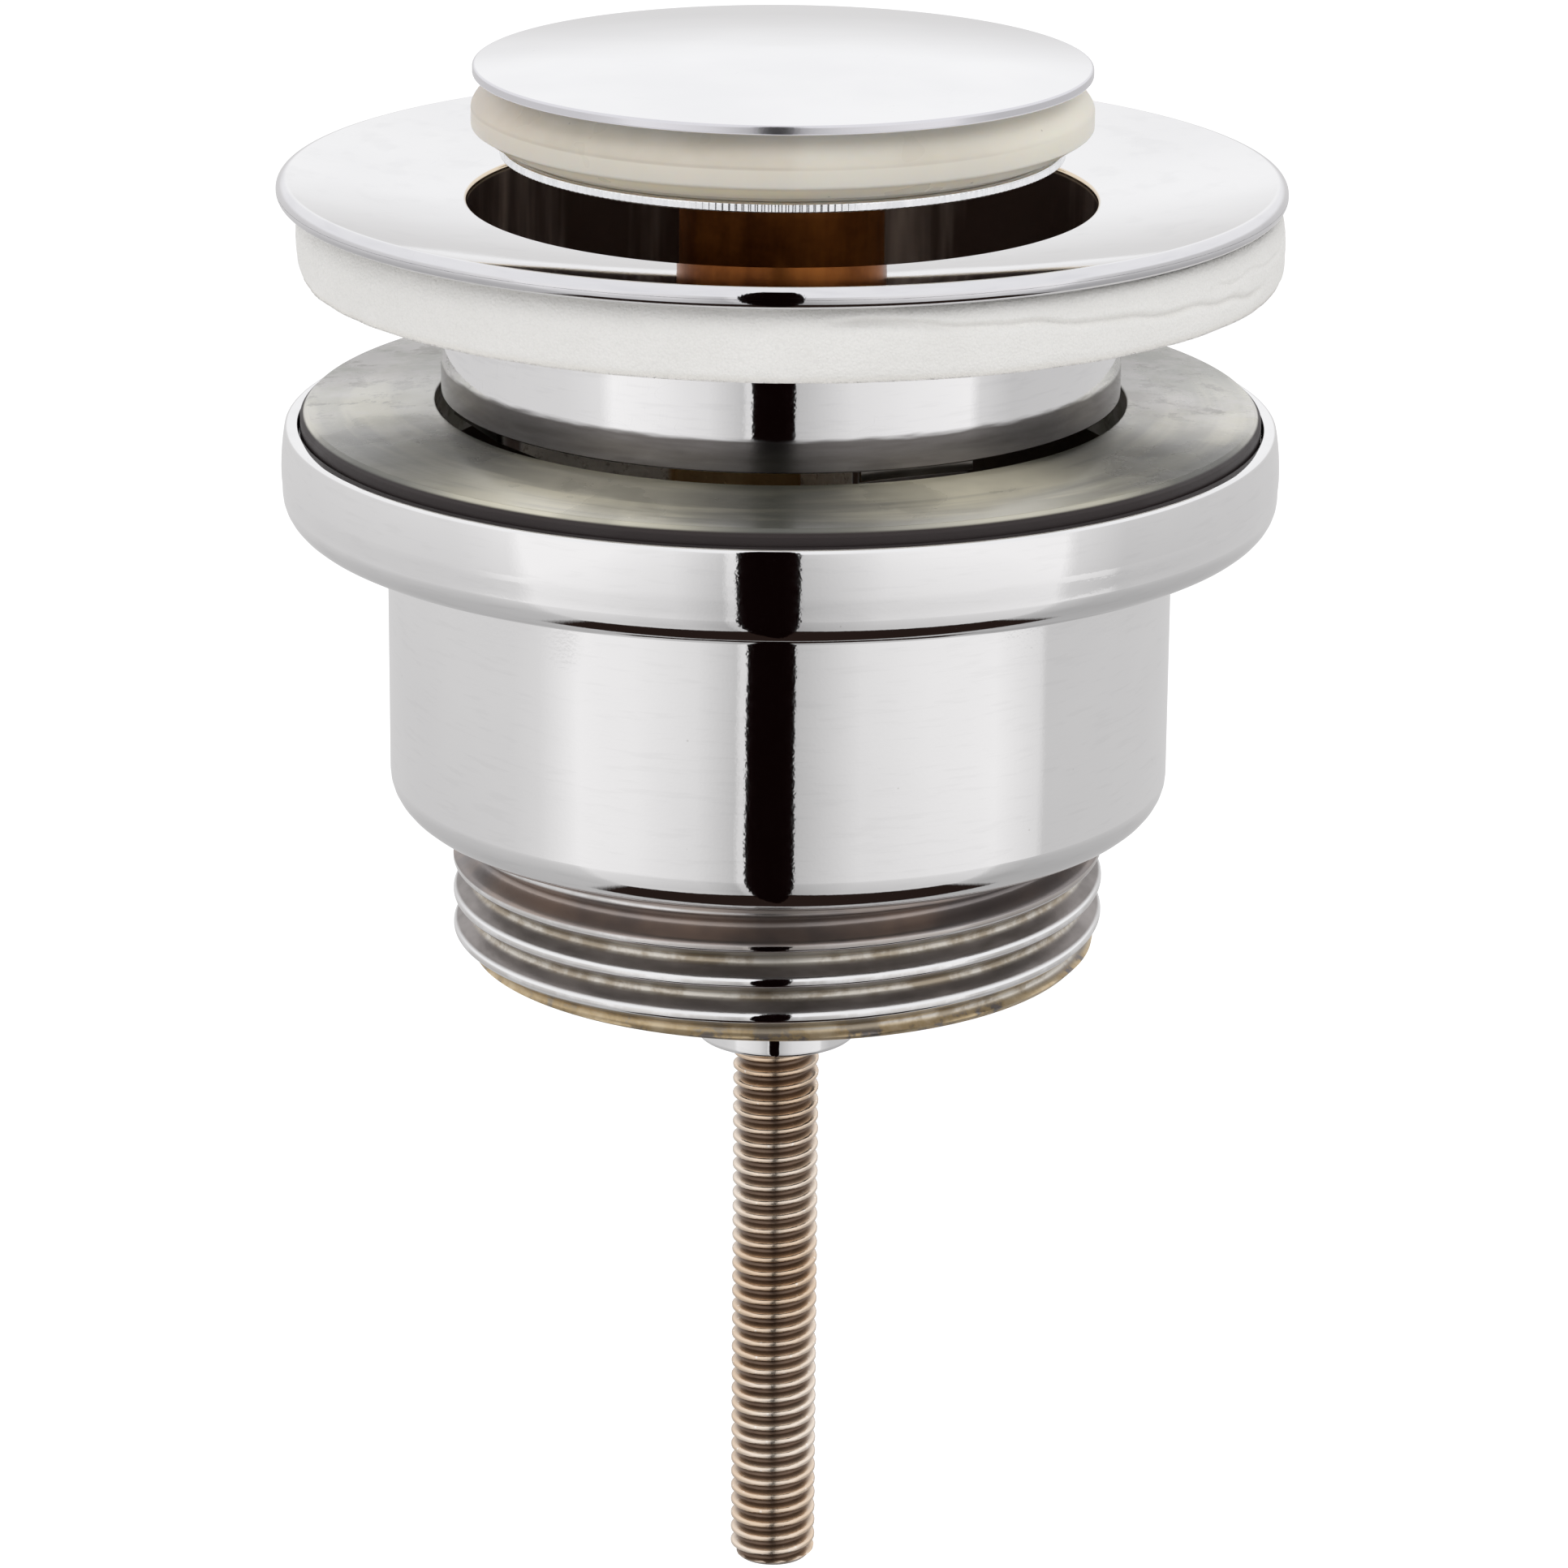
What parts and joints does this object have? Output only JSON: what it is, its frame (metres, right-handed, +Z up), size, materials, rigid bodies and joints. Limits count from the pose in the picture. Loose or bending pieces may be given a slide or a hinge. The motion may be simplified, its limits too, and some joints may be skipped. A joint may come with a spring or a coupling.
{
  "type": "basin drain plug",
  "caption": "Press-to-close basin drain plug: domed cap with soft seal, dished flange with collar, foam washer, cupped lower body with gasket and outlet thread, and a central clamp screw.",
  "frame": {"origin": "on the drain's axis at the foam washer's underside, where the basin's face lies", "axes": "+Z up along the axis towards the cap; -Y is the front of the picture"},
  "size_m": [0.0632, 0.0632, 0.1022],
  "materials": {
    "plug_chrome": "polished chrome plate",
    "body_chrome": "polished chrome plate",
    "clear_silicone": "translucent silicone",
    "disc_steel": "knurled edge",
    "cartridge_brass": "drawn and darkened",
    "spring_steel": "plain",
    "black_rubber": "matte",
    "white_foam": "closed-cell foam",
    "screw_brass": "nickelled, rolled thread",
    "grey_rubber": "semi-matte rubber"
  },
  "bodies": {
    "fixed": {"flange": "body_chrome", "foam_washer": "white_foam", "latch_core": "cartridge_brass", "core_o_ring": "black_rubber", "latch_spring": "spring_steel", "screw_washer": "spring_steel"},
    "plug": {"plug_cap": "plug_chrome", "plug_seal": "clear_silicone", "retaining_disc": "disc_steel", "push_sleeve": "cartridge_brass", "sleeve_clip": "spring_steel"},
    "latch": {"latch_ring": "cartridge_brass", "latch_pins": "spring_steel"},
    "screw": {"clamp_screw": "screw_brass"},
    "lower": {"lower_body": "body_chrome", "body_gasket": "grey_rubber"}
  },
  "joints": [
    {"name": "plug_press", "type": "slide", "parent": "fixed", "child": "plug", "axis": [0, 0, -1], "range_m": [0, 0.0082], "stiffness_N_per_m": 1200, "springref_m": -0.006, "deforming": ["latch_spring"]},
    {"name": "latch_turn", "type": "hinge", "parent": "plug", "child": "latch", "pos_m": [0, 0, -0.0072], "axis": [0, 0, 1], "range_deg": [-0.5, 23]},
    {"name": "body_clamp", "type": "slide", "parent": "fixed", "child": "lower", "axis": [0, 0, 1], "range_m": [-0.036, 0.0081]},
    {"name": "clamp_turn", "type": "hinge", "parent": "fixed", "child": "screw", "pos_m": [0, 0, -0.0222], "axis": [0, 0, 1], "range_deg": [-2950, 12990]}
  ],
  "couplings": [
    {"joint": "latch_turn", "follows": "plug_press", "rad_per_m": 47.89},
    {"joint": "clamp_turn", "follows": "body_clamp", "rad_per_m": -6283.2}
  ]
}
